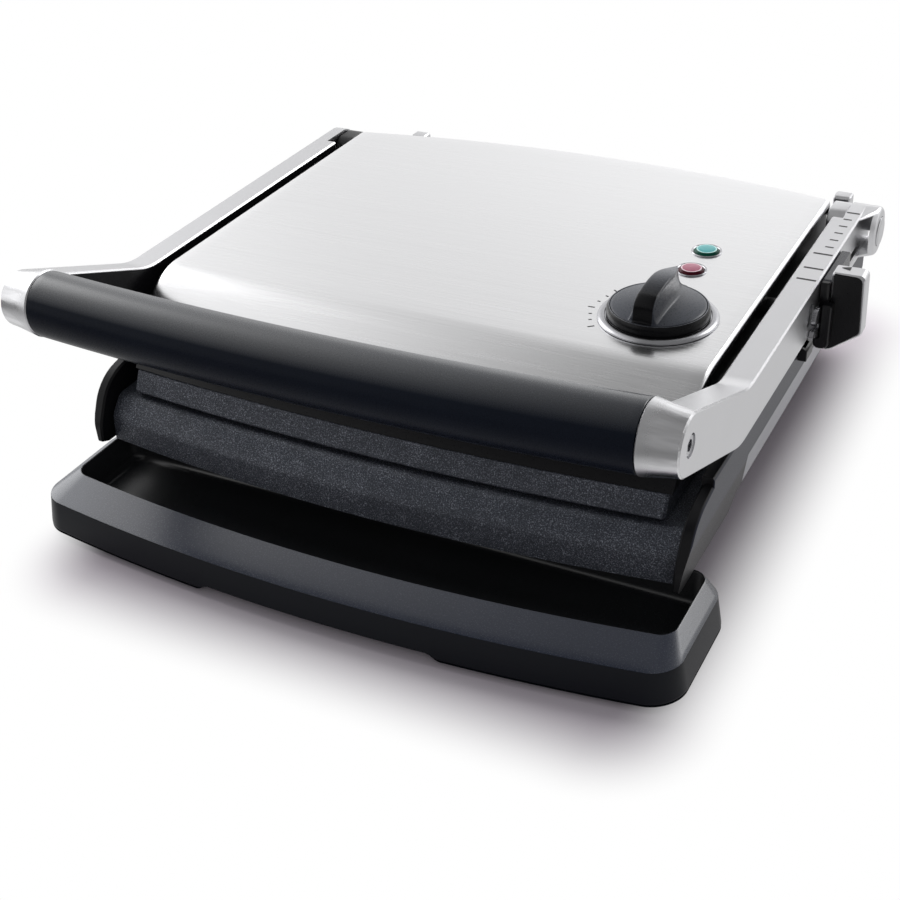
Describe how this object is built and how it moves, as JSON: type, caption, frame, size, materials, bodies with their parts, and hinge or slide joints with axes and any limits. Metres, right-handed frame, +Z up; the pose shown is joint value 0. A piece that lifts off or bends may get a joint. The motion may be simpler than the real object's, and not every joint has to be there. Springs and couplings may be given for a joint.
{
  "type": "panini press",
  "caption": "Contact grill with a floating, height-adjustable top plate on lifting arms, a bowed handle, a temperature dial and a front drip tray.",
  "frame": {"origin": "middle of the footprint's bounding box, on the worktop", "axes": "+X to the press's own right seen from the front, +Y to the rear (hinge side), +Z up; the handle and tray are towards -Y"},
  "size_m": [0.3664, 0.3928, 0.1466],
  "materials": {
    "lid_cover": "brushed",
    "cast_silver": "satin",
    "plain_steel": "plain",
    "slate": "satin moulded",
    "trim": "silver paint",
    "black": "satin moulded",
    "grip": "soft touch",
    "plate": "granular non-stick coating",
    "knob": "satin moulded",
    "foot": "matt",
    "element": "heat-darkened sheath",
    "ceramic": "matt",
    "green_lens": "clear dome",
    "red_lens": "clear dome"
  },
  "bodies": {
    "base": {"base_housing": "slate", "side_strip_right": "trim", "side_strip_left": "trim", "bottom_cover": "black", "lower_plate": "plate", "lower_heating_element": "element", "lower_reflector": "plain_steel", "thermal_fuse": "ceramic", "terminal_block": "ceramic", "cord_inlet_gland": "foot", "latch_keeper": "black", "hinge_tower_right": "black", "hinge_tower_left": "black", "hinge_pin_right": "plain_steel", "hinge_pin_left": "plain_steel", "rear_cover": "slate", "rear_stand_right": "cast_silver", "rear_stand_left": "cast_silver", "foot_front_right": "foot", "foot_front_left": "foot", "foot_rear_right": "foot", "foot_rear_left": "foot"},
    "arms": {"arm_right": "cast_silver", "arm_left": "cast_silver", "arm_inner_cover_right": "black", "arm_inner_cover_left": "black", "handle_grip": "grip", "handle_core": "plain_steel", "handle_bolt_right": "plain_steel", "handle_bolt_left": "plain_steel", "hinge_cap": "cast_silver", "pivot_bolt_right": "plain_steel", "pivot_bolt_left": "plain_steel", "pivot_spacer_right": "black", "pivot_spacer_left": "black"},
    "slider": {"height_slider": "cast_silver", "slider_knob": "cast_silver", "slider_knob_face": "black", "latch_bracket": "black", "latch_hook": "plain_steel"},
    "top_housing": {"lid_cover": "lid_cover", "top_frame": "black", "upper_plate": "plate", "upper_heating_element": "element", "upper_reflector": "plain_steel", "thermostat": "ceramic", "power_lens": "green_lens", "ready_lens": "red_lens", "power_bezel": "trim", "ready_bezel": "trim", "knob_ring": "plain_steel"},
    "knob": {"temperature_knob": "knob", "knob_shaft": "plain_steel"},
    "tray": {"drip_tray": "black"}
  },
  "joints": [
    {"name": "arm_hinge", "type": "hinge", "parent": "base", "child": "arms", "pos_m": [-0.01022, 0.12495, 0.099], "axis": [-1, 0, 0], "range_deg": [0, 95]},
    {"name": "plate_tilt", "type": "hinge", "parent": "arms", "child": "top_housing", "pos_m": [-0.01022, 0.01385, 0.0992], "axis": [1, 0, 0], "range_deg": [0, 6]},
    {"name": "height_slide", "type": "slide", "parent": "arms", "child": "slider", "axis": [0, 1, 0], "range_m": [-0.0135, 0.0645]},
    {"name": "knob_turn", "type": "hinge", "parent": "top_housing", "child": "knob", "pos_m": [0.10028, -0.04055, 0.12], "axis": [0, 0, 1], "range_deg": [-135, 135]},
    {"name": "tray_slide", "type": "slide", "parent": "base", "child": "tray", "axis": [0, -1, 0], "range_m": [0, 0.08]}
  ],
  "couplings": [
    {"joint": "plate_tilt", "follows": "arm_hinge", "ratio": 0.0625}
  ]
}
